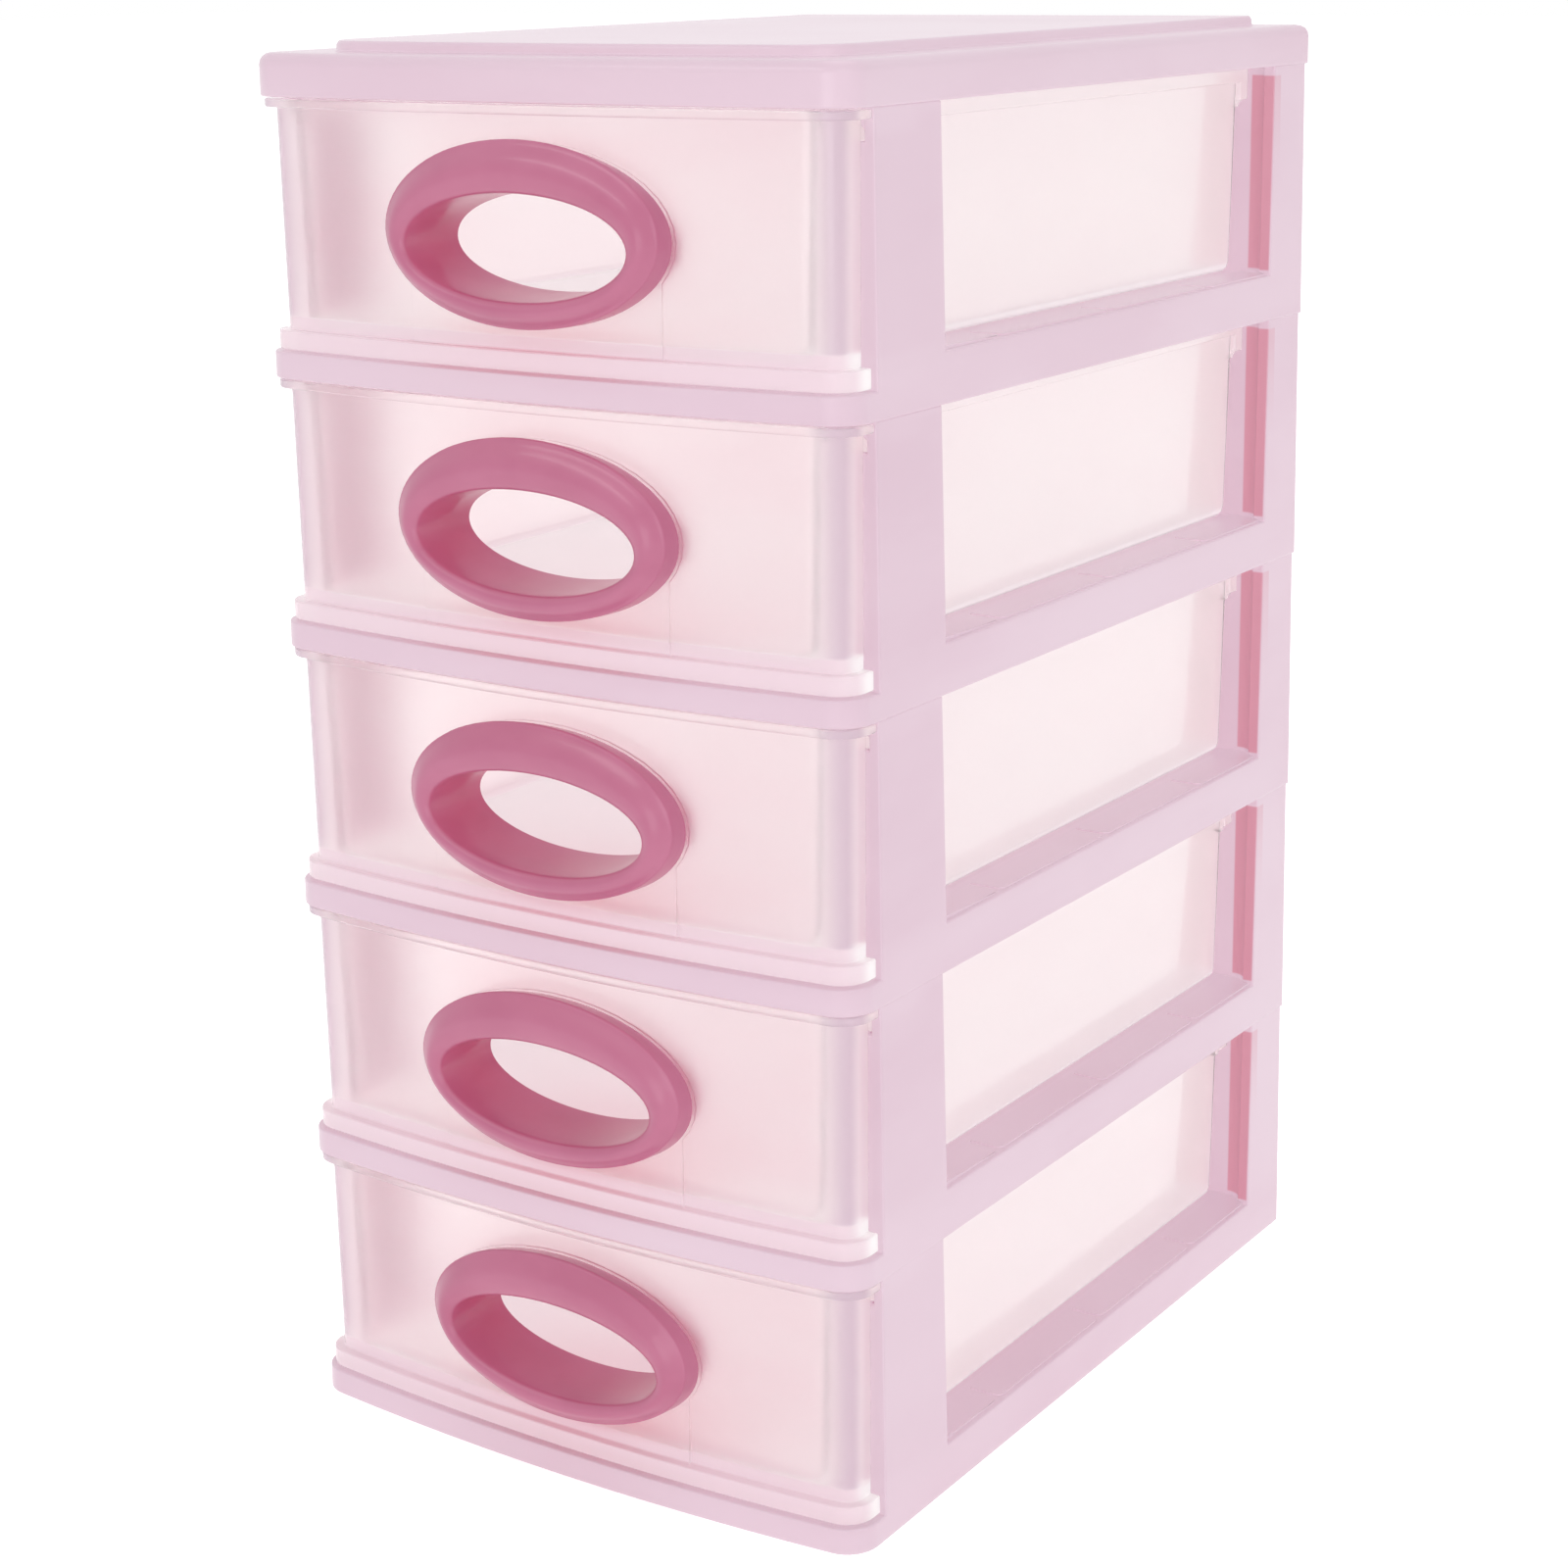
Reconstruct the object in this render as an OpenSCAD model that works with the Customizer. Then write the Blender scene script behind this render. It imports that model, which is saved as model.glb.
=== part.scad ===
// Desk-top drawer tower: five stacked frames under a lid, each with a bow-fronted drawer
// and an oval finger pull. x runs across the width, y from front to back and z up.
// Every piece is moulded in one go, so outer faces lean and walls keep one thickness.

/* [Tower] */
// Width across the foot of a frame
tower_w = 116; // [104:1:136]
// Depth from the line through the front corners to the back
tower_d = 158.4; // [136:0.2:190]
// Height from the foot of one frame to the foot of the next
tier_h = 46; // [44:0.5:56]
// How far the front bows out between its corners
front_bow = 3.3; // [2:0.1:5]
// Radius of the front corners in plan
front_corner_r = 6; // [5:0.25:8]
// Radius of the back corners in plan
back_corner_r = 0.7; // [0.5:0.1:1.5]
// How far the outer faces lean in over one tier
draft = 0.4; // [0.3:0.05:0.7]
// Running gap between a drawer and the frame around it
run_gap = 0.3; // [0.2:0.05:0.4]

/* [Frame] */
// Wall of the skirt, posts and columns
frame_wall = 1.8; // [1.5:0.1:2.2]
// Thickness of the floor that carries the drawer
floor_t = 1.8; // [1.4:0.1:2.2]
// Height of the side and back bands, up to the floor's top
band_h = 8.3; // [7.5:0.1:10]
// Height of the low band under the drawer front
front_band_h = 4.5; // [3.8:0.1:5.4]
// Distance of the front posts behind the front corners' line
post_setback = 7.8; // [7:0.1:10]
// Width of the front posts at the band
front_post_w = 19.8; // [16:0.2:26]
// Width of the rear posts at the band
rear_post_w = 14.4; // [13.5:0.1:17]
// How far the window edges lean away from each other over one tier
window_lean = 0.9; // [0.4:0.1:1.4]
// Height at which the flanges of the front posts stop
flange_h = 41; // [34:0.5:41.5]
// Width of the rear columns, seen from behind
column_w = 18.7; // [15:0.1:26]
// Depth of the rear columns
column_d = 11.7; // [9:0.1:13]
// Fillet between a rear column's face and its side wall
column_fillet = 3.2; // [2:0.1:3.4]
// Spacing of the cross ribs under the floor
rib_pitch = 37; // [30:0.5:46]
// Thickness of the cross ribs
rib_t = 1.4; // [1:0.1:1.8]
// Height of the wear pads on the floor beside the drawer
pad_h = 0.25; // [0.15:0.05:0.4]
// Groove between neighbouring wear pads
pad_groove = 0.8; // [0.5:0.1:1.5]
// Bare strip between the wear pads and the frame's edge
pad_margin = 1.1; // [0.9:0.1:2]
// Corner radius of the wear pads
pad_corner_r = 1.4; // [0.8:0.1:1.8]
// Thickness of the tongues that key one tier into the next
tongue_t = 2.1; // [1.6:0.1:2.6]
// How far the tongues stand up out of the posts
tongue_rise = 3.5; // [2.5:0.1:4.2]
// How far down a post the slanted foot of its tongue starts
tongue_foot = 5; // [4:0.1:7]
// Length of the front tongues
tongue_l = 12; // [8:0.5:15]
// Gap around a tongue in the skirt above it
tongue_gap = 0.3; // [0.2:0.05:0.4]

/* [Lid] */
// How far the lid stands proud of the frames all round
lid_grow = 0.1; // [0:0.05:0.5]
// Height of the lid's rim
lid_rim_h = 7; // [6:0.1:9]
// Rounding of the rim's top edge
lid_edge_r = 2; // [1:0.1:2.5]
// Thickness of the lid's top
lid_t = 1.8; // [1.4:0.1:2.2]
// Width of the flat border at the front and sides of the raised panel
lid_border = 8.2; // [7:0.1:14]
// Width of the flat border behind the raised panel
lid_back_border = 5.4; // [5:0.1:12]
// Height of the raised panel above the border
panel_rise = 1.7; // [1:0.1:2.4]
// Radius of the panel's front corners
panel_front_r = 10; // [5:0.5:12]
// Radius of the panel's back corners
panel_back_r = 2.4; // [1.6:0.2:6]

/* [Drawer] */
// Wall of the drawer's sides and back
drawer_wall = 1.5; // [1.2:0.1:1.8]
// Thickness of the drawer's bottom
bottom_t = 1.5; // [1.2:0.1:2]
// Width of the ledge between the frame's edge and the drawer's side
ledge_w = 7.2; // [6.9:0.1:9]
// How far the drawer's sides lean in towards the bottom
drawer_lean = 1; // [0.5:0.1:1.3]
// How far the drawer's back leans in towards the bottom
back_lean = 0.1; // [0.1:0.1:0.8]
// Rounding of the drawer's bottom edges
bottom_r = 2; // [1:0.1:2.5]
// Rounding of the drawer's back corners
drawer_corner_r = 1.8; // [1.2:0.1:3]
// How far the rim stands out from the sides
rim_out = 1; // [0.6:0.1:1.2]
// Height of the rim along the sides
rim_h = 2.6; // [2:0.1:3.5]
// How far the lip stands out from the back
back_lip_out = 1.7; // [1.2:0.1:2.4]
// Height of the lip along the back
back_lip_h = 5.6; // [4:0.1:7]
// Fillet between the back lip's underside and the back
back_lip_r = 1.4; // [0.8:0.1:1.6]
// Gap between the back lip and the rear columns
back_gap = 0.4; // [0.3:0.1:1]
// Gap between the rim and the flanges of the front posts
rim_gap = 0.5; // [0.3:0.1:0.8]

/* [Drawer front] */
// Wall of the drawer front
front_t = 1.8; // [1.5:0.1:2]
// Set-back of the front's face from the frame's foot, at the top
front_inset = 2.4; // [2:0.1:2.7]
// How far the front leans in towards its bottom
front_lean = 0.3; // [0.2:0.1:0.8]
// Height of the thin lip along the top
top_lip_h = 1.4; // [1:0.1:2]
// Set-back of the top lip
top_lip_inset = 0.5; // [0.3:0.1:1]
// Height of the lip along the bottom
bottom_lip_h = 3.2; // [2.4:0.1:3.6]
// Set-back of the bottom lip
bottom_lip_inset = 0.9; // [0.6:0.1:1.4]
// Height of the raised seat under the pull
seat_rise = 0.3; // [0.2:0.05:0.7]
// Width of the seat's border around the pull's base
seat_border = 0.3; // [0.1:0.05:0.6]
// Width of the raised field that runs down from the seat
field_w = 49.4; // [36:0.2:52]

/* [Pull] */
// Width of the oval pull
pull_w = 53.6; // [50:0.2:58]
// Height of the oval pull
pull_h = 29.3; // [28:0.1:32]
// Height of the pull's middle above the frame's foot
pull_z = 26.2; // [25.5:0.1:27]
// Width of the finger hole
hole_w = 43.1; // [38:0.1:45]
// Height of the finger hole
hole_h = 16.4; // [14:0.1:18]
// How far the finger hole sits below the pull's middle
hole_drop = 1.9; // [0.5:0.1:2.2]
// How far the crest of the ring stands out from its seat
crest_out = 5.4; // [5:0.1:8]
// How far the finger hole's lip stands out from the seat
lip_out = 4; // [3.4:0.1:4.8]
// How far the outer edge of the ring's face stands out from the seat
edge_out = 3.6; // [2.4:0.1:4.6]
// Rounding of that outer edge
edge_round = 0.5; // [0.3:0.1:0.9]
// How far the ring's flank flares out sideways down to its base
base_flare = 0.3; // [0.1:0.1:0.8]
// How far the top of the ring's base lies below the top of its face
base_drop = 0.9; // [0.3:0.1:1.2]
// Place of the crest between the hole (0) and the outer edge (1)
crest_place = 0.42; // [0.3:0.02:0.6]
// Wall of the finger tube
tube_t = 1.3; // [1:0.1:1.8]
// How far the finger tube reaches in behind the front's face
tube_depth = 8.4; // [6:0.1:12]
// Narrowing of the finger tube towards its inner end
tube_taper = 0.3; // [0.1:0.05:0.5]
// Gap between the tube and its hole in the drawer front
tube_gap = 0.2; // [0.1:0.05:0.3]
// Bearing gap between the pull and its seat
seat_gap = 0.05; // [0:0.01:0.1]
// How far the catches reach over the hole's edge
catch_reach = 0.6; // [0.4:0.1:0.9]
// Height of each catch
catch_h = 5; // [3:0.5:7]

/* [Hidden] */
tiers = 5;
frame_colour = [0.91, 0.81, 0.86];
drawer_colour = [0.97, 0.92, 0.93];
pull_colour = [0.80, 0.50, 0.64];

// Steps along the bow, the front corners, the back corners, an edge rounding and an oval
bow_steps = 12;
corner_steps = 8;
back_steps = 3;
edge_steps = 3;
oval_steps = 40;
ring_steps = 5;
face_steps = 3;
least_r = 0.8;
$fn = 64;

half_w = tower_w / 2;
back_y = tower_d / 2;
bow_r = (half_w * half_w + front_bow * front_bow) / (2 * front_bow);
bow_y = bow_r - back_y - front_bow;
tower_h = tiers * tier_h + lid_rim_h + panel_rise;

// Heights inside one tier, from the frame's foot
drawer_foot = band_h + run_gap;
drawer_top = tier_h - run_gap;
front_foot = front_band_h + run_gap;
shelf_under = front_band_h - frame_wall;
floor_under = band_h - floor_t;

// Plan lines of the frame
post_front = post_setback - back_y;
post_back = post_front + front_post_w;
post_inner = half_w - draft - frame_wall;
column_front = back_y - column_d;
riser_inset = front_inset + front_lean + front_t + run_gap;
skirt_inner = half_w - frame_wall;

// Plan lines of the drawer, at its top
drawer_half_w = half_w - ledge_w;
drawer_back = column_front - back_gap - back_lip_out;
return_end = post_front - run_gap;
box_front_inset = front_inset + (front_lean + front_t) / 2;
flange_inner = drawer_half_w + rim_out + rim_gap;

// The pull's ovals
pull_a = pull_w / 2;
pull_b = pull_h / 2;
hole_a = hole_w / 2;
hole_b = hole_h / 2;
hole_z = pull_z - hole_drop;
base_a = pull_a + base_flare;
base_b = pull_b - base_drop / 2;
base_z = pull_z - base_drop / 2;
front_face_y = bow_y - bow_r + front_inset + front_lean / 2;
tube_end = front_face_y + tube_depth;

// The model's origin lies under the middle of its own box
crest_z = mix(hole_z + hole_b, pull_z + pull_b, crest_place);
front_most = wall_y(0, crest_z) - seat_rise - crest_out;
y_shift = -(front_most + back_y + lid_grow) / 2;

function mix(a, b, t) = a + (b - a) * t;

function arc(x, y, r, from, to, steps) =
    [for (i = [0 : steps]) let (a = mix(from, to, i / steps)) [x + r * cos(a), y + r * sin(a)]];

// A rectangle with a bowed front: half width, set-back of the bow, back line, corner radii
function bowed(hw, inset, back, front_r, back_r) =
    let (r = bow_r - inset,
         cx = hw - front_r,
         cy = bow_y - sqrt((r - front_r) * (r - front_r) - cx * cx),
         half = asin(cx / (r - front_r)),
         front = arc(0, bow_y, r, 270 - half, 270 + half, bow_steps))
    concat(arc(-cx, cy, front_r, 180, 270 - half, corner_steps),
           [for (i = [1 : bow_steps - 1]) front[i]],
           arc(cx, cy, front_r, 270 + half, 360, corner_steps),
           arc(hw - back_r, back - back_r, back_r, 0, 90, back_steps),
           arc(back_r - hw, back - back_r, back_r, 90, 180, back_steps));

// Across the back only, from a straight front line round two back corners
function backed(hw, front, back, r) =
    concat([[-hw, front], [hw, front]],
           arc(hw - r, back - r, r, 0, 90, back_steps),
           arc(r - hw, back - r, r, 90, 180, back_steps));

// The tower's own outline, moved in by d
function outline(d) =
    bowed(half_w - d, d, back_y - d, max(front_corner_r - d, least_r), max(back_corner_r - d, least_r / 2));

// How far the drawer front is set back at height z, and where its face lies there
function front_set(z) = mix(front_inset + front_lean, front_inset, (z - front_foot) / (drawer_top - front_foot));
function wall_y(x, z) = bow_y - sqrt(pow(bow_r - front_set(z), 2) - x * x);

// A solid through a list of [height, outline], all with as many points
module loft(sections) {
    n = len(sections[0][1]);
    last = len(sections) - 1;
    corners = [for (s = sections) for (p = s[1]) [p[0], p[1], s[0]]];
    sides = [for (i = [0 : last - 1]) for (j = [0 : n - 1])
        let (a = i * n + j, b = i * n + (j + 1) % n)
        each [[a, a + n, b + n], [a, b + n, b]]];
    foot = [for (j = [0 : n - 1]) j];
    top = [for (j = [n - 1 : -1 : 0]) last * n + j];
    polyhedron(points = corners, faces = concat(sides, [foot, top]));
}

module prism(from, to, points) {
    translate([0, 0, from]) linear_extrude(to - from) polygon(points);
}

// A box given by its lowest and highest corners
module block(low, high) {
    translate(low) cube(high - low);
}

module both_sides() {
    children();
    mirror([1, 0, 0]) children();
}

module tier(index) {
    translate([0, y_shift, index * tier_h]) children();
}

// ---- frame ----

// The band with its floor, low at the front where the drawer front hangs over it
module tray() {
    reach = tower_d;
    cavity_front = post_front + frame_wall;
    difference() {
        block([-half_w - 1, -reach, 0], [half_w + 1, reach, band_h]);
        difference() {
            block([-half_w - 2, -reach - 1, front_band_h], [half_w + 2, post_front, band_h + 1]);
            prism(0, band_h + 2, outline(riser_inset));
        }
        prism(-1, shelf_under, outline(frame_wall));
        prism(-1, floor_under, outline(riser_inset + frame_wall));
        intersection() {
            prism(-1, floor_under, outline(frame_wall));
            block([-half_w, cavity_front, -2], [half_w, reach, band_h]);
        }
    }
}

module front_post() {
    block([post_inner, post_front, floor_under], [half_w + 1, post_back + 1, tier_h]);
    block([flange_inner, post_front, floor_under], [half_w, post_front + frame_wall, flange_h]);
}

// A hollow column: face, side, back and inner wall round an open middle
module rear_column() {
    inner_end = half_w - column_w;
    translate([0, 0, floor_under]) linear_extrude(tier_h - floor_under) {
        difference() {
            translate([inner_end, column_front]) square([column_w + 1, column_d + 1]);
            translate([inner_end + frame_wall, column_front + frame_wall])
                square([post_inner - inner_end - frame_wall, column_d - draft - 2 * frame_wall]);
        }
        translate([post_inner, back_y - rear_post_w - 1]) square([half_w + 1 - post_inner, rear_post_w]);
        difference() {
            translate([post_inner - column_fillet, column_front - column_fillet])
                square(column_fillet + frame_wall / 2);
            translate([post_inner - column_fillet, column_front - column_fillet]) circle(column_fillet);
        }
    }
}

// The open sides, with upright edges that lean apart towards the top
module windows() {
    rise = tier_h - band_h;
    lean = window_lean * rise / tier_h;
    front_edge = post_back;
    back_edge = back_y - rear_post_w;
    rotate([90, 0, 90]) translate([0, 0, -half_w - 2]) linear_extrude(tower_w + 4)
        polygon([[front_edge, band_h], [back_edge, band_h],
                 [back_edge + lean, tier_h], [back_edge + lean, tier_h + 1],
                 [front_edge - lean, tier_h + 1], [front_edge - lean, tier_h]]);
}

// A key that stands up out of a post into the skirt of the tier above, with a slanted foot
module tongue(from, to) {
    outer = skirt_inner - tongue_gap;
    inner = outer - tongue_t;
    top = tier_h + tongue_rise;
    root = post_inner + frame_wall / 4;
    foot = tier_h - tongue_foot;
    lead = 0.6;
    translate([0, to, 0]) rotate([90, 0, 0]) linear_extrude(to - from)
        polygon([[root, foot], [inner, foot + tongue_t], [inner, top - lead], [inner + lead, top],
                 [outer - lead, top], [outer, top - lead], [outer, tier_h], [root, tier_h]]);
}

module cross_ribs() {
    first = post_front + frame_wall;
    for (y = [first + rib_pitch : rib_pitch : column_front - rib_pitch / 2])
        block([-skirt_inner - frame_wall / 2, y - rib_t / 2, shelf_under],
              [skirt_inner + frame_wall / 2, y + rib_t / 2, floor_under + floor_t / 2]);
}

// Low pads on the ledge beside the drawer, parted by grooves over the cross ribs
module wear_pads() {
    first = post_front + frame_wall;
    inner = drawer_half_w - drawer_lean + rim_out;
    outer = half_w - pad_margin;
    corner = pad_corner_r;
    for (y = [first : rib_pitch : column_front - rib_pitch / 2]) {
        from = y + pad_groove / 2;
        to = min(y + rib_pitch, column_front) - pad_groove / 2;
        translate([0, 0, band_h - pad_h]) linear_extrude(2 * pad_h) union() {
            translate([inner, from]) square([outer - inner - corner, to - from]);
            translate([inner, from + corner]) square([outer - inner, to - from - 2 * corner]);
            for (y_corner = [from + corner, to - corner])
                translate([outer - corner, y_corner]) circle(corner);
        }
    }
}

module frame_unit() {
    color(frame_colour) {
        difference() {
            intersection() {
                loft([[0, outline(0)], [tier_h, outline(draft)]]);
                union() {
                    tray();
                    both_sides() front_post();
                    both_sides() rear_column();
                }
            }
            windows();
        }
        cross_ribs();
        both_sides() wear_pads();
        both_sides() {
            tongue(post_front + frame_wall + tongue_gap, post_front + frame_wall + tongue_gap + tongue_l);
            tongue(column_front + frame_wall + tongue_gap, back_y - frame_wall - tongue_gap);
        }
    }
}

// ---- lid ----

module lid_cover() {
    rim_edge = [for (i = [0 : edge_steps + 1]) let (a = 90 * i / (edge_steps + 1))
        [lid_rim_h - lid_edge_r + lid_edge_r * sin(a), outline(lid_edge_r * (1 - cos(a)) - lid_grow)]];
    panel_slope = 0.6;
    panel_w = half_w + lid_grow - lid_border;
    panel_back = back_y + lid_grow - lid_back_border;
    panel = function (d) bowed(panel_w - d, lid_border - lid_grow + d, panel_back - d,
                               max(panel_front_r - d, least_r), max(panel_back_r - d, least_r));
    panel_top = lid_rim_h + panel_rise;
    stop_back = post_front + frame_wall;
    color(frame_colour) {
        difference() {
            union() {
                loft(concat([[0, outline(-lid_grow)]], rim_edge));
                loft([[lid_rim_h - lid_t / 2, panel(0)], [panel_top - panel_slope, panel(panel_slope / 3)],
                      [panel_top, panel(panel_slope)]]);
            }
            prism(-1, lid_rim_h - lid_t, outline(frame_wall));
            prism(-1, panel_top - lid_t, panel(lid_t + panel_slope));
        }
        // Ribs that the front tongues stop against
        both_sides()
            block([post_inner - tongue_t - 2, stop_back - frame_wall, lid_rim_h - lid_t - tongue_rise],
                  [half_w - frame_wall / 2, stop_back, lid_rim_h - lid_t / 2]);
    }
}

// ---- drawer ----

// The drawer's plan at height z, moved in by d, with the front line set back by front
function box_plan(z, d, front) =
    let (depth = (drawer_top - z) / (drawer_top - drawer_foot))
    bowed(drawer_half_w - drawer_lean * depth - d, front, drawer_back - back_lean * depth - d, 1.2,
          max(drawer_corner_r - d, least_r / 2));

// Heights and insets up a rounded bottom edge of radius r that starts at foot
function bottom_edge(foot, r) =
    [for (i = [0 : edge_steps]) let (a = 90 * i / edge_steps) [foot + r * (1 - cos(a)), r * (1 - sin(a))]];

module box_outer() {
    loft(concat([for (e = bottom_edge(drawer_foot, bottom_r)) [e[0], box_plan(e[0], e[1], box_front_inset)]],
                [[drawer_top, box_plan(drawer_top, 0, box_front_inset)]]));
}

module box_inner() {
    inner_r = max(bottom_r - drawer_wall / 2, 0.5);
    over = drawer_top + 1;
    loft(concat([for (e = bottom_edge(drawer_foot + bottom_t, inner_r))
                    [e[0], box_plan(e[0], e[1] + drawer_wall, front_set(e[0]) + front_t)]],
                [[over, box_plan(over, drawer_wall, front_set(over) + front_t)]]));
}

// Rim along the sides and the deeper lip round the back, with a fillet under it
module box_rim() {
    lip_foot = drawer_top - back_lip_h;
    lip_front = drawer_back - drawer_corner_r;
    lip = function (t) backed(drawer_half_w + rim_out * t, lip_front, drawer_back + back_lip_out * t, least_r);
    prism(drawer_top - rim_h, drawer_top,
          bowed(drawer_half_w + rim_out, box_front_inset, drawer_back + back_lip_out, 1.2, least_r));
    loft(concat([for (i = [0 : edge_steps]) let (a = 90 * i / edge_steps)
                    [lip_foot - back_lip_r * (1 - sin(a)), lip(1 - cos(a))]],
                [[drawer_top, lip(1)]]));
}

// The bowed front with its lips and short returns round the corners
module front_panel() {
    lip_foot = drawer_top - top_lip_h;
    lip_top = front_foot + bottom_lip_h;
    difference() {
        loft([[front_foot, outline(bottom_lip_inset)], [lip_top, outline(bottom_lip_inset)],
              [lip_top, outline(front_set(lip_top))], [lip_foot, outline(front_set(lip_foot))],
              [lip_foot, outline(top_lip_inset)], [drawer_top, outline(top_lip_inset)]]);
        loft([[front_foot - 1, outline(front_set(front_foot - 1) + front_t)],
              [drawer_top + 1, outline(front_set(drawer_top + 1) + front_t)]]);
        block([-half_w - 1, return_end, 0], [half_w + 1, back_y + 1, tier_h]);
    }
}

function oval(a, b, z) = [for (i = [0 : oval_steps - 1]) let (t = 360 * i / oval_steps) [a * cos(t), z + b * sin(t)]];

// Stands a plan drawn in x and z up along y
module upright(from, to) {
    translate([0, to, 0]) rotate([90, 0, 0]) linear_extrude(to - from) children();
}

// The raised oval that the pull sits on, with the plain field below it
module pull_seat() {
    low = front_foot + bottom_lip_h - 0.5;
    high = drawer_top - top_lip_h;
    intersection() {
        translate([0, bow_y, low])
            cylinder(h = high - low, r1 = bow_r - front_set(low) + seat_rise, r2 = bow_r - front_set(high) + seat_rise,
                     $fn = 360);
        upright(-tower_d, wall_y(0, pull_z) + front_bow + front_t / 2) {
            polygon(oval(base_a + seat_border, base_b + seat_border, base_z));
            translate([-field_w / 2, low]) square([field_w, pull_z - low]);
        }
    }
}

module drawer_box() {
    color(drawer_colour) difference() {
        union() {
            box_outer();
            box_rim();
            front_panel();
            difference() {
                pull_seat();
                loft([[front_foot, outline(front_set(front_foot) + front_t / 2)],
                      [drawer_top, outline(front_set(drawer_top) + front_t / 2)]]);
            }
        }
        box_inner();
        upright(-tower_d, tube_end + 1) polygon(oval(hole_a + tube_t + tube_gap, hole_b + tube_t + tube_gap, hole_z));
    }
}

// ---- pull ----

// Oval at u between the finger hole (0) and the outer edge (1): half width, half height, middle, stand-out
function ring(u, out) = [mix(hole_a, pull_a, u), mix(hole_b, pull_b, u), mix(hole_z, pull_z, u), out];

// Where the rounding of the outer edge starts, between the hole (0) and the edge (1)
edge_place = 1 - edge_round / (pull_a - hole_a);

// Once round the pull's wall: out of the tube, over the lip, crest and edge, down the flank and back along the seat
pull_profile = concat(
    [for (i = [0 : ring_steps - 2]) let (a = 90 * i / (ring_steps - 1))
        ring(crest_place * (1 - cos(a)), mix(lip_out, crest_out, sin(a)))],
    [for (i = [0 : face_steps]) let (t = i / face_steps)
        ring(mix(crest_place, edge_place, t), mix(crest_out, edge_out, pow(t, 1.6)))],
    [for (i = [1 : edge_steps - 1]) let (a = 90 * i / (edge_steps - 1))
        ring(mix(edge_place, 1, sin(a)), edge_out - edge_round * (1 - cos(a)))],
    [[base_a, base_b, base_z, seat_gap],
     [hole_a + tube_t, hole_b + tube_t, hole_z, seat_gap]]);

module oval_pull() {
    m = len(pull_profile) + 2;
    n = oval_steps;
    face = function (x, z, out) wall_y(x, z) - seat_rise - out;
    around = [for (p = pull_profile) for (q = oval(p[0], p[1], p[2])) [q[0], face(q[0], q[1], p[3]), q[1]]];
    end_outer = [for (q = oval(hole_a + tube_t, hole_b + tube_t, hole_z)) [q[0], tube_end, q[1]]];
    end_inner = [for (q = oval(hole_a - tube_taper, hole_b - tube_taper, hole_z)) [q[0], tube_end, q[1]]];
    faces = [for (i = [0 : m - 1]) for (j = [0 : n - 1])
        let (a = i * n + j, b = i * n + (j + 1) % n, c = (i + 1) % m * n + (j + 1) % n, d = (i + 1) % m * n + j)
        each [[a, b, c], [a, c, d]]];
    color(pull_colour) {
        polyhedron(points = concat(around, end_outer, end_inner), faces = faces);
        both_sides() tube_catch();
    }
}

// A wedge on the tube's side that snaps in behind the drawer front
module tube_catch() {
    side = hole_a + tube_t;
    from = wall_y(side, hole_z) + front_t + seat_gap + 0.1;
    translate([0, 0, hole_z - catch_h / 2]) linear_extrude(catch_h)
        polygon([[side - tube_t / 2, from], [side + tube_gap + catch_reach, from], [side, tube_end - 0.5],
                 [side - tube_t / 2, tube_end - 0.5]]);
}

// ---- nodes ----

module frame_1() tier(0) frame_unit();
module frame_2() tier(1) frame_unit();
module frame_3() tier(2) frame_unit();
module frame_4() tier(3) frame_unit();
module frame_5() tier(4) frame_unit();
module lid() tier(tiers) lid_cover();
module drawer_1() tier(0) drawer_box();
module drawer_2() tier(1) drawer_box();
module drawer_3() tier(2) drawer_box();
module drawer_4() tier(3) drawer_box();
module drawer_5() tier(4) drawer_box();
module pull_1() tier(0) oval_pull();
module pull_2() tier(1) oval_pull();
module pull_3() tier(2) oval_pull();
module pull_4() tier(3) oval_pull();
module pull_5() tier(4) oval_pull();

frame_1();
frame_2();
frame_3();
frame_4();
frame_5();
lid();
drawer_1();
drawer_2();
drawer_3();
drawer_4();
drawer_5();
pull_1();
pull_2();
pull_3();
pull_4();
pull_5();
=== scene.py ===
import math
import bpy
import bmesh
from mathutils import Matrix, Vector


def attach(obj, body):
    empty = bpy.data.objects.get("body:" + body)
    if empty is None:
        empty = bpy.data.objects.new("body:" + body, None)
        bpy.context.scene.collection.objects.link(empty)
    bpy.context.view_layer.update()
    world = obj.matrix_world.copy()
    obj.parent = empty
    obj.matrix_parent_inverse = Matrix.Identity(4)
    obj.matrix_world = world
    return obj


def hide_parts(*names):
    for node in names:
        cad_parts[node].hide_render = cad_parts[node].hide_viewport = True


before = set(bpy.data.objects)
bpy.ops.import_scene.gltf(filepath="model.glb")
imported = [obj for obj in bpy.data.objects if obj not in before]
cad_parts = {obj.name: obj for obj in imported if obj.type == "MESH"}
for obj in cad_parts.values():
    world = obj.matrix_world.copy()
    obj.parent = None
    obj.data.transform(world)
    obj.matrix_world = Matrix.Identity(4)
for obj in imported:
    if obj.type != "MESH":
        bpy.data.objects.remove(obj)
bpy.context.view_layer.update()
scene = bpy.context.scene
mm = 0.001
white = (1.0, 1.0, 1.0, 1.0)


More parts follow.
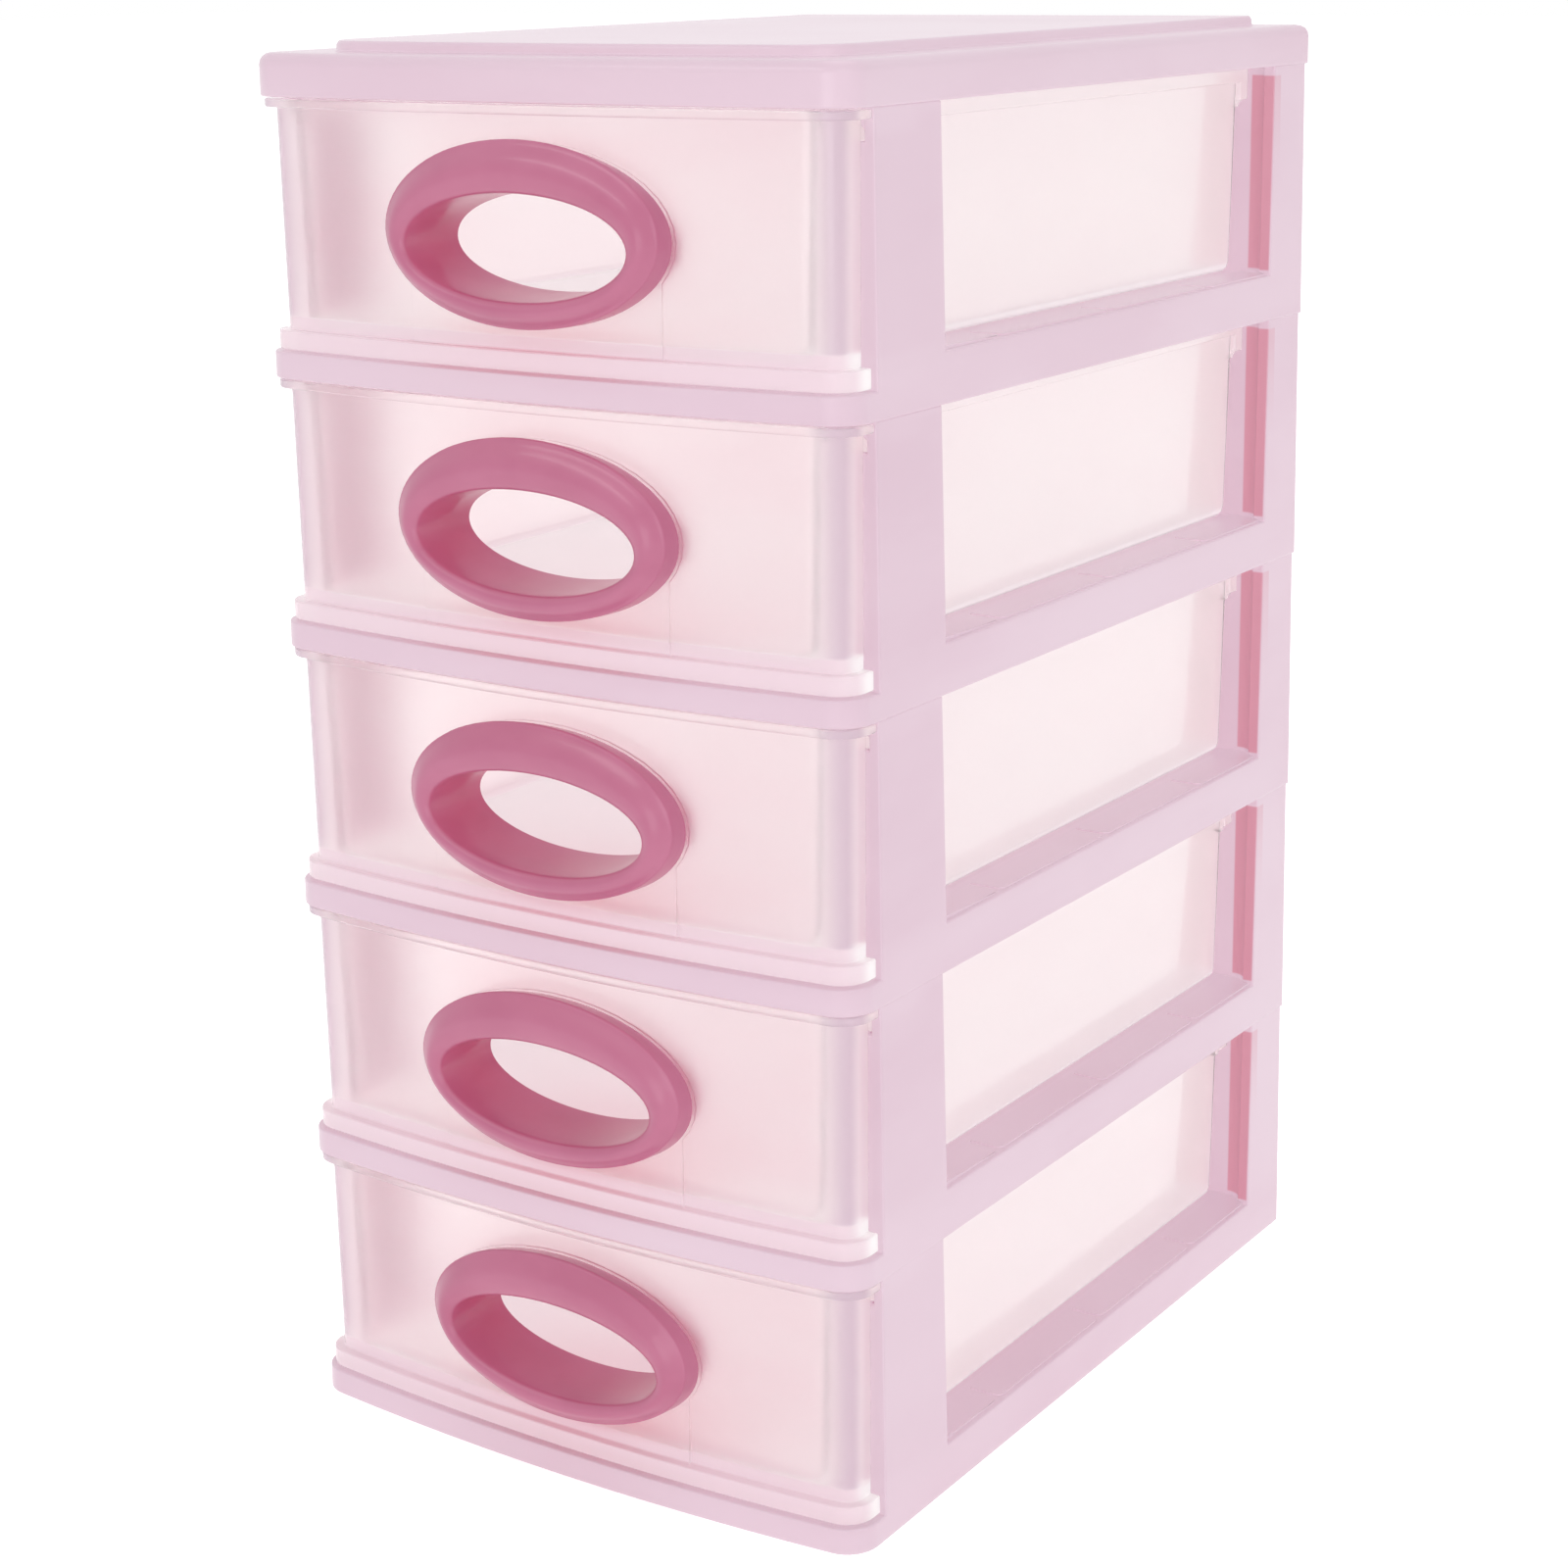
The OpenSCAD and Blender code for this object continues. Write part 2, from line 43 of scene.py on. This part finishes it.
class Socket:
    # an output of a shader node that adds, subtracts and multiplies like a number
    def __init__(self, tree, source=None):
        self.tree = tree
        self.source = source

    def node(self, kind, settings=None, values=None, out=0):
        made = self.tree.nodes.new("ShaderNode" + kind)
        for name, value in (settings or {}).items():
            setattr(made, name, value)
        for name, value in (values or {}).items():  # numbers, colours or links
            if isinstance(value, Socket):
                self.tree.links.new(value.source, made.inputs[name])
            else:
                made.inputs[name].default_value = value
        return Socket(self.tree, made.outputs[out]) if made.outputs else None

    def calc(self, operation, first, second=None, clamp=False):
        given = {0: first} if second is None else {0: first, 1: second}
        return self.node("Math", {"operation": operation, "use_clamp": clamp}, given)

    def __add__(self, other):
        return self.calc("ADD", self, other)

    def __radd__(self, other):
        return self.calc("ADD", other, self)

    def __sub__(self, other):
        return self.calc("SUBTRACT", self, other)

    def __rsub__(self, other):
        return self.calc("SUBTRACT", other, self)

    def __mul__(self, other):
        return self.calc("MULTIPLY", self, other)

    def __rmul__(self, other):
        return self.calc("MULTIPLY", other, self)

    def ramp(self, low, high):  # 0 at low and 1 at high, eased between
        return self.node("MapRange", {"interpolation_type": "SMOOTHSTEP"},
                         {"Value": self, "From Min": low, "From Max": high})

    def blend(self, first, second):  # from the first colour at 0 to the second at 1
        return self.node("Mix", {"data_type": "RGBA"}, {0: self, 6: first, 7: second}, out=2)

    def noise(self, scale, detail, roughness=0.5):
        return self.node("TexNoise", {}, {
            "Vector": self, "Scale": scale, "Detail": detail, "Roughness": roughness})

    def stretched(self, x, y, z):
        return self.node("Mapping", {}, {"Vector": self, "Scale": (x, y, z)})

    def along(self, axis):
        return self.node("SeparateXYZ", {}, {"Vector": self}, out=axis)

    def outward(self):  # how far from the middle, on either side
        return self.calc("ABSOLUTE", self)

    def wrapped(self, step):  # starts again at every step
        return self.calc("MODULO", self, step)

    def between(self, low, high, soft=0.4 * mm):  # 1 between the two, with soft ends
        return self.ramp(low, low + soft) * (1 - self.ramp(high - soft, high))

    def orMore(self, other):  # the larger of the two
        return self.calc("MAXIMUM", self, other)


def newMaterial(name):
    made = bpy.data.materials.new(name)
    made.use_nodes = True
    made.node_tree.nodes.clear()
    start = Socket(made.node_tree)
    return made, start, start.node("TexCoord", out="Object")


def finishMaterial(start, shader):
    start.node("OutputMaterial", {}, {"Surface": shader})


def hue(red, green, blue):  # a colour as the eye reads it, 0 to 255
    shares = [value / 255 for value in (red, green, blue)]
    return tuple(s / 12.92 if s <= 0.04045 else ((s + 0.055) / 1.055) ** 2.4 for s in shares) + (1.0,)


def relief(start, look, height):
    return start.node("Bump", {}, {
        "Strength": look["grainStrength"], "Distance": look["grainDepth"], "Height": height})


def plastic(start, look, tone, rough, normal, seeThrough):
    return start.node("BsdfPrincipled", {}, {
        "Base Color": tone, "Roughness": rough, "Normal": normal, "IOR": look["bending"],
        "Transmission Weight": seeThrough, "Coat Weight": look["gloss"],
        "Coat Roughness": look["glossRoughness"], "Coat IOR": look["glossBending"]})


def letLightIn(start, look, shader):
    # lamp light and light off other faces partly passes through, coloured, as in thin milky plastic
    lampRay = start.node("LightPath", out="Is Shadow Ray")
    roomRay = start.node("LightPath", out="Is Diffuse Ray")
    through = start.node("BsdfTransparent", {}, {"Color": look["lightTint"]})
    passing = start.calc("ADD", lampRay, roomRay, clamp=True) * look["lightShare"]
    return start.node("MixShader", {}, {0: passing, 1: shader, 2: through})


# in each finish a pattern is given by its scale, detail and roughness
frameFinish = {
    "colour": hue(226, 200, 214),
    "deeper": hue(223, 195, 210),  # in the flow marks
    "paler": hue(228, 205, 218),  # in wide clouds
    "roughness": 0.36,
    "bending": 1.49,
    "seeThrough": 0.1,
    "gloss": 0.35,
    "glossRoughness": 0.08,
    "glossBending": 1.5,
    "lightTint": hue(255, 253, 254),
    "lightShare": 1.0,
    "flow": (22, 3),
    "flowStretch": (1, 1, 3),
    "flowRange": (0.35, 0.7),
    "flowRoughness": 0.05,
    "cloud": (9, 2),
    "cloudRange": (0.45, 0.75),
    "grain": (2600, 2, 0.6),
    "grainStrength": 0.6,
    "grainDepth": 0.012 * mm,
    "scuff": (160, 4, 0.7),
    "scuffStretch": (1, 14, 1),
    "scuffRange": (0.62, 0.74),
    "scuffRoughness": 0.1,
    "scuffHeight": 0.4,
    "tierStep": 46 * mm,
    "insideUp": (9.0 * mm, 44.5 * mm),  # the opening's height in its tier
    "inside": hue(186, 122, 156),  # the front posts' inner faces, a painted shade where they get little light
    "insideAlong": (-67.6 * mm, -47.5 * mm),
    "insideAcross": (54.8 * mm, 56.5 * mm),
    "column": hue(215, 148, 166),  # the rear columns' fronts, a painted shade where they get little light
    "columnAlong": (67.4 * mm, 71.6 * mm),
    "columnAcross": (52.0 * mm, 57.8 * mm),
}


def makeFramePlastic(look):
    made, start, place = newMaterial("pearlFramePlastic")
    flow = place.stretched(*look["flowStretch"]).noise(*look["flow"])
    cloud = place.noise(*look["cloud"])
    grain = place.noise(*look["grain"])
    scuff = place.stretched(*look["scuffStretch"]).noise(*look["scuff"]).ramp(*look["scuffRange"])
    tone = flow.ramp(*look["flowRange"]).blend(look["colour"], look["deeper"])
    tone = cloud.ramp(*look["cloudRange"]).blend(tone, look["paler"])
    # the faces inside the openings that get little light are deeper in tone
    along, across = place.along("Y"), place.along("X").outward()
    up = place.along("Z").wrapped(look["tierStep"]).between(*look["insideUp"])
    inside = along.between(*look["insideAlong"]) * across.between(*look["insideAcross"]) * up
    column = along.between(*look["columnAlong"]) * across.between(*look["columnAcross"]) * up
    tone = column.blend(inside.blend(tone, look["inside"]), look["column"])
    rough = look["roughness"] + scuff * look["scuffRoughness"] + flow * look["flowRoughness"]
    normal = relief(start, look, grain + scuff * look["scuffHeight"])
    shader = plastic(start, look, tone, rough, normal, look["seeThrough"])
    finishMaterial(start, letLightIn(start, look, shader))
    return made


drawerFinish = {
    "colour": hue(253, 248, 248),
    "deeper": hue(252, 244, 245),
    "roughness": 0.5,
    "bending": 1.22,  # low, so that the thin walls show no glassy lines
    "seeThrough": 0.93,
    "gloss": 0.9,
    "glossRoughness": 0.1,
    "glossBending": 1.46,
    "lightTint": hue(255, 254, 254),
    "lightShare": 1.0,
    "flow": (26, 3),
    "flowStretch": (1, 1, 2.5),
    "flowRange": (0.35, 0.7),
    "flowRoughness": 0.06,
    "grain": (3200, 2, 0.6),
    "grainStrength": 0.6,
    "grainDepth": 0.014 * mm,
    "scuff": (150, 4, 0.7),
    "scuffStretch": (14, 1, 1),
    "scuffRange": (0.62, 0.76),
    "scuffRoughness": 0.08,
    "scuffHeight": 0.4,
    "milkySeeThrough": 0.35,
    "lipColour": hue(240, 220, 228),
    "floorColour": hue(255, 252, 252),
    # the front's ends: milkier thick plastic, darkened partly by a painted shade of the posts behind
    "endMilkAndShadeColour": hue(214, 192, 206),
    "wallColour": hue(249, 239, 240),
    "wallMilk": 0.55,
    "tierStep": 46 * mm,
    "floorRange": (9.9 * mm, 10.6 * mm),  # in its tier, just over the drawer's floor
    "endsRange": (48 * mm, 55 * mm),  # the front's ends stand outside the box
    "frontRange": (70 * mm, 73 * mm),
    "wallsRange": (-46 * mm, -36 * mm),  # behind the front posts the walls are milkier
}


def makeDrawerPlastic(look):
    made, start, place = newMaterial("frostedDrawerPlastic")
    flow = place.stretched(*look["flowStretch"]).noise(*look["flow"])
    grain = place.noise(*look["grain"])
    scuff = place.stretched(*look["scuffStretch"]).noise(*look["scuff"]).ramp(*look["scuffRange"])
    tone = flow.ramp(*look["flowRange"]).blend(look["colour"], look["deeper"])
    rough = look["roughness"] + scuff * look["scuffRoughness"] + flow * look["flowRoughness"]
    normal = relief(start, look, grain + scuff * look["scuffHeight"])
    thin = plastic(start, look, tone, rough, normal, look["seeThrough"])
    # the floor and the front's two ends are thicker plastic, and milkier, and so are the rear walls; the
    # ends' deeper colour is partly a painted shade of the posts behind them
    aboveFloor = place.along("Z").wrapped(look["tierStep"]).ramp(*look["floorRange"])
    front = (0 - place.along("Y")).ramp(*look["frontRange"])
    ends = place.along("X").outward().ramp(*look["endsRange"]) * front
    walls = place.along("Y").ramp(*look["wallsRange"]) * look["wallMilk"]
    milky = ends.orMore(walls).orMore(1 - aboveFloor)
    below = front.blend(look["floorColour"], look["lipColour"])
    thickTone = aboveFloor.blend(below, ends.blend(look["wallColour"], look["endMilkAndShadeColour"]))
    thick = plastic(start, look, thickTone, rough, normal, look["milkySeeThrough"])
    shader = start.node("MixShader", {}, {0: milky, 1: thin, 2: thick})
    finishMaterial(start, letLightIn(start, look, shader))
    return made


pullFinish = {
    "colour": hue(190, 106, 138),
    "deeper": hue(184, 98, 131),
    "roughness": 0.3,
    "bending": 1.49,
    "seeThrough": 0.0,
    "gloss": 0.3,
    "glossRoughness": 0.11,
    "glossBending": 1.5,
    "lightTint": hue(250, 188, 204),
    "lightShare": 0.95,
    "flow": (60, 3),
    "flowStretch": (1, 1, 1.5),
    "flowRange": (0.35, 0.7),
    "grain": (2800, 2, 0.6),
    "grainStrength": 0.5,
    "grainDepth": 0.008 * mm,
    "rub": (90, 3, 0.6),
    "rubRoughness": 0.04,
}


def makePullPlastic(look):
    made, start, place = newMaterial("raspberryPullPlastic")
    flow = place.stretched(*look["flowStretch"]).noise(*look["flow"])
    rub = place.noise(*look["rub"])
    tone = flow.ramp(*look["flowRange"]).blend(look["colour"], look["deeper"])
    rough = look["roughness"] + rub * look["rubRoughness"]
    normal = relief(start, look, place.noise(*look["grain"]))
    shader = plastic(start, look, tone, rough, normal, look["seeThrough"])
    finishMaterial(start, letLightIn(start, look, shader))
    return made


framePlastic = makeFramePlastic(frameFinish)
drawerPlastic = makeDrawerPlastic(drawerFinish)
pullPlastic = makePullPlastic(pullFinish)
print("finishes made")

dressing = {
    "mergeWithin": 0.002 * mm,
    "flatWithin": 0.08,  # degrees between parts of one flat face
    "quadSkew": 75,  # degrees that a pair of triangles may be askew and still be joined
    "shortestEdge": 0.45 * mm,  # shorter ones stay sharp
    "roomShare": 0.34,  # of the narrower face beside an edge
    "crispFrom": 40,  # degrees, where an edge is too tight to be rounded
    "evenness": 60,
}


def mergedCopy(node, wholeFaces):
    # the solid's own faces, joined up, and with its flat faces whole again where asked
    shape = bmesh.new()
    shape.from_mesh(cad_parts[node].data)
    for face in shape.faces:
        face.material_index = 0
    bmesh.ops.remove_doubles(shape, verts=shape.verts, dist=dressing["mergeWithin"])
    if wholeFaces:
        bmesh.ops.dissolve_limit(shape, angle_limit=math.radians(dressing["flatWithin"]),
                                 use_dissolve_boundaries=False, verts=shape.verts,
                                 edges=shape.edges, delimit=set())
    return shape


def creaseEdges(shape, angle):
    # triangles back to quads, and the sharp edges kept when the rest is smoothed
    bmesh.ops.join_triangles(shape, faces=shape.faces, angle_face_threshold=math.radians(angle),
                             angle_shape_threshold=math.radians(dressing["quadSkew"]))
    creases = shape.edges.layers.float.new("crease_edge")
    for edge in shape.edges:
        if len(edge.link_faces) == 2 and edge.calc_face_angle(0) > math.radians(angle):
            edge[creases] = 1.0


def narrowness(face):  # roughly how wide a face is across its short way
    longest = max(edge.calc_length() for edge in face.edges)
    return face.calc_area() / max(longest, 1e-9)


def weightEdges(shape, width, angle):
    # sharp edges take a rounding that their narrower face has room for
    weights = shape.edges.layers.float.new("bevel_weight_edge")
    across = {face: narrowness(face) for face in shape.faces}
    for edge in shape.edges:
        if len(edge.link_faces) != 2 or edge.calc_face_angle(0) < math.radians(angle):
            continue
        if edge.calc_length() < dressing["shortestEdge"]:
            continue
        room = min(across[face] for face in edge.link_faces)
        edge[weights] = min(1.0, dressing["roomShare"] * room / width)


def dress(name, body, node, finish, look):
    shape = mergedCopy(node, wholeFaces=not look["smoothing"])
    if look["smoothing"]:
        creaseEdges(shape, look["angle"])
    weightEdges(shape, look["edge"], look["angle"])
    data = bpy.data.meshes.new(name)
    shape.to_mesh(data)
    shape.free()
    if "custom_normal" in data.attributes:
        data.attributes.remove(data.attributes["custom_normal"])
    data.polygons.foreach_set("use_smooth", [True] * len(data.polygons))
    data.materials.append(finish)
    piece = bpy.data.objects.new(name, data)
    scene.collection.objects.link(piece)
    if look["smoothing"]:
        curved = piece.modifiers.new("curves", "SUBSURF")
        curved.levels = look["smoothing"]
        curved.render_levels = look["smoothing"]
    rounding = piece.modifiers.new("edges", "BEVEL")
    rounding.limit_method = "WEIGHT"
    rounding.width = look["edge"]
    rounding.segments = look["segments"]
    rounding.profile = 0.5
    rounding.use_clamp_overlap = False
    rounding.harden_normals = False
    rounding.material = -1
    rounded = bpy.data.meshes.new_from_object(piece.evaluated_get(bpy.context.evaluated_depsgraph_get()))
    piece.modifiers.clear()
    piece.data = rounded
    rounded.set_sharp_from_angle(angle=math.radians(dressing["crispFrom"]))
    evened = piece.modifiers.new("normals", "WEIGHTED_NORMAL")
    evened.keep_sharp = True
    evened.weight = dressing["evenness"]
    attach(piece, body)
    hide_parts(node)


frameShape = {"edge": 0.32 * mm, "segments": 3, "angle": 34, "smoothing": 0}
for tier in range(1, 6):
    dress(f"stackingFrame{tier}", "tower", f"frame_{tier}", framePlastic, frameShape)
print("frames dressed")

lidShape = {"edge": 0.4 * mm, "segments": 3, "angle": 34, "smoothing": 0}
dress("lidCover", "tower", "lid", framePlastic, lidShape)
print("lid dressed")

drawerShape = {"edge": 0.3 * mm, "segments": 3, "angle": 34, "smoothing": 0}
for tier in range(1, 6):
    dress(f"frostedDrawer{tier}", f"drawer_{tier}", f"drawer_{tier}",
          drawerPlastic, drawerShape)
print("drawers dressed")

pullShape = {"edge": 0.22 * mm, "segments": 2, "angle": 40, "smoothing": 1}
for tier in range(1, 6):
    dress(f"ovalPull{tier}", f"drawer_{tier}", f"pull_{tier}", pullPlastic, pullShape)
print("pulls dressed")

studio = {
    "floorSize": 8.0,
    "floorColour": (0.86, 0.86, 0.86, 1.0),
    "floorPaler": (0.88, 0.88, 0.88, 1.0),
    "mottle": (3, 2),
    "mottleRange": (0.3, 0.7),
    "floorLight": 0.25,  # the table's own soft light, as from a light box
    "floorGlow": 0.3,  # added where the table is seen, not on the object
    "roomLight": 0.72,
    "lamps": (  # name, place, aimed at, width, height, watts
        ("keyLamp", (-0.5, -1.6, 1.4), (0.0, 0.0, 0.12), 1.8, 0.2, 3.5),
        ("lowLamp", (0.6, -1.6, 0.25), (0.0, 0.0, 0.12), 0.9, 0.9, 2.6),
        ("sideLamp", (1.7, -0.7, 0.9), (0.0, 0.0, 0.12), 1.2, 1.2, 3.9),
        ("topLamp", (0.1, 0.3, 1.7), (0.0, 0.0, 0.12), 1.2, 1.2, 3.6),
    ),
}


def seenDirectly(start):  # camera, glossy and transmitted rays
    kinds = ("Camera", "Glossy", "Transmission")
    eye, mirrored, through = (start.node("LightPath", out=f"Is {kind} Ray") for kind in kinds)
    return start.calc("ADD", eye + mirrored, through, clamp=True)


def makeFloor(look):
    shape = bmesh.new()
    bmesh.ops.create_grid(shape, x_segments=1, y_segments=1, size=look["floorSize"])
    data = bpy.data.meshes.new("studioFloor")
    shape.to_mesh(data)
    shape.free()
    floor = bpy.data.objects.new("studioFloor", data)
    scene.collection.objects.link(floor)
    made, start, place = newMaterial("paleFloor")
    mottle = place.noise(*look["mottle"]).ramp(*look["mottleRange"])
    board = start.node("BsdfDiffuse", {}, {"Color": mottle.blend(look["floorColour"], look["floorPaler"])})
    light = start.node("Emission", {}, {"Color": white, "Strength": look["floorLight"]})
    table = start.node("AddShader", {}, {0: board, 1: light})
    glow = start.node("Emission", {}, {"Color": white, "Strength": look["floorGlow"]})
    bright = start.node("AddShader", {}, {0: table, 1: glow})
    finishMaterial(start, start.node("MixShader", {}, {0: seenDirectly(start), 1: table, 2: bright}))
    data.materials.append(made)


def makeRoom(look):
    world = bpy.data.worlds.new("studioRoom")
    scene.world = world
    world.use_nodes = True
    world.node_tree.nodes.clear()
    start = Socket(world.node_tree)
    soft = start.node("Background", {}, {"Color": white, "Strength": look["roomLight"]})
    plain = start.node("Background", {}, {"Color": white, "Strength": 1.0})
    both = start.node("MixShader", {}, {0: seenDirectly(start), 1: soft, 2: plain})
    start.node("OutputWorld", {}, {"Surface": both})


def makeLamps(look):
    for name, place, aim, width, height, watts in look["lamps"]:
        data = bpy.data.lights.new(name, "AREA")
        data.shape = "ELLIPSE"
        data.size = width
        data.size_y = height
        data.energy = watts
        lamp = bpy.data.objects.new(name, data)
        scene.collection.objects.link(lamp)
        lamp.location = place
        lamp.rotation_mode = "QUATERNION"
        lamp.rotation_quaternion = (Vector(aim) - Vector(place)).to_track_quat("-Z", "Y")


makeFloor(studio)
makeRoom(studio)
makeLamps(studio)
print("studio made")

viewpoint = {  # fitted to the photograph's edges
    "place": (0.295518, -0.448083, 0.254440),
    "azimuth": 33.75,
    "elevation": 14.05,
    "roll": -0.83,
    "lens": 69.823,
    "sensor": 36,
    "shift": (-0.0046, -0.0566),
    "clip": (0.01, 60),
}


def makeCamera(look):
    data = bpy.data.cameras.new("photographView")
    data.lens = look["lens"]
    data.sensor_width = look["sensor"]
    data.shift_x, data.shift_y = look["shift"]
    data.clip_start, data.clip_end = look["clip"]
    camera = bpy.data.objects.new("photographView", data)
    scene.collection.objects.link(camera)
    azimuth, elevation, roll = (math.radians(look[k]) for k in ("azimuth", "elevation", "roll"))
    flat = Vector((math.sin(azimuth), -math.cos(azimuth), 0))
    back = flat * math.cos(elevation) + Vector((0, 0, math.sin(elevation)))
    right = Vector((math.cos(azimuth), math.sin(azimuth), 0))
    up = back.cross(right)
    turnedRight = right * math.cos(roll) + up * math.sin(roll)
    turnedUp = up * math.cos(roll) - right * math.sin(roll)
    pose = Matrix((turnedRight, turnedUp, back)).transposed().to_4x4()
    pose.translation = Vector(look["place"])
    camera.matrix_world = pose
    scene.camera = camera


makeCamera(viewpoint)
scene.view_settings.view_transform = "Standard"
scene.cycles.max_bounces = 24
scene.cycles.diffuse_bounces = 12
scene.cycles.transmission_bounces = 16
scene.cycles.transparent_max_bounces = 24
print("camera set")
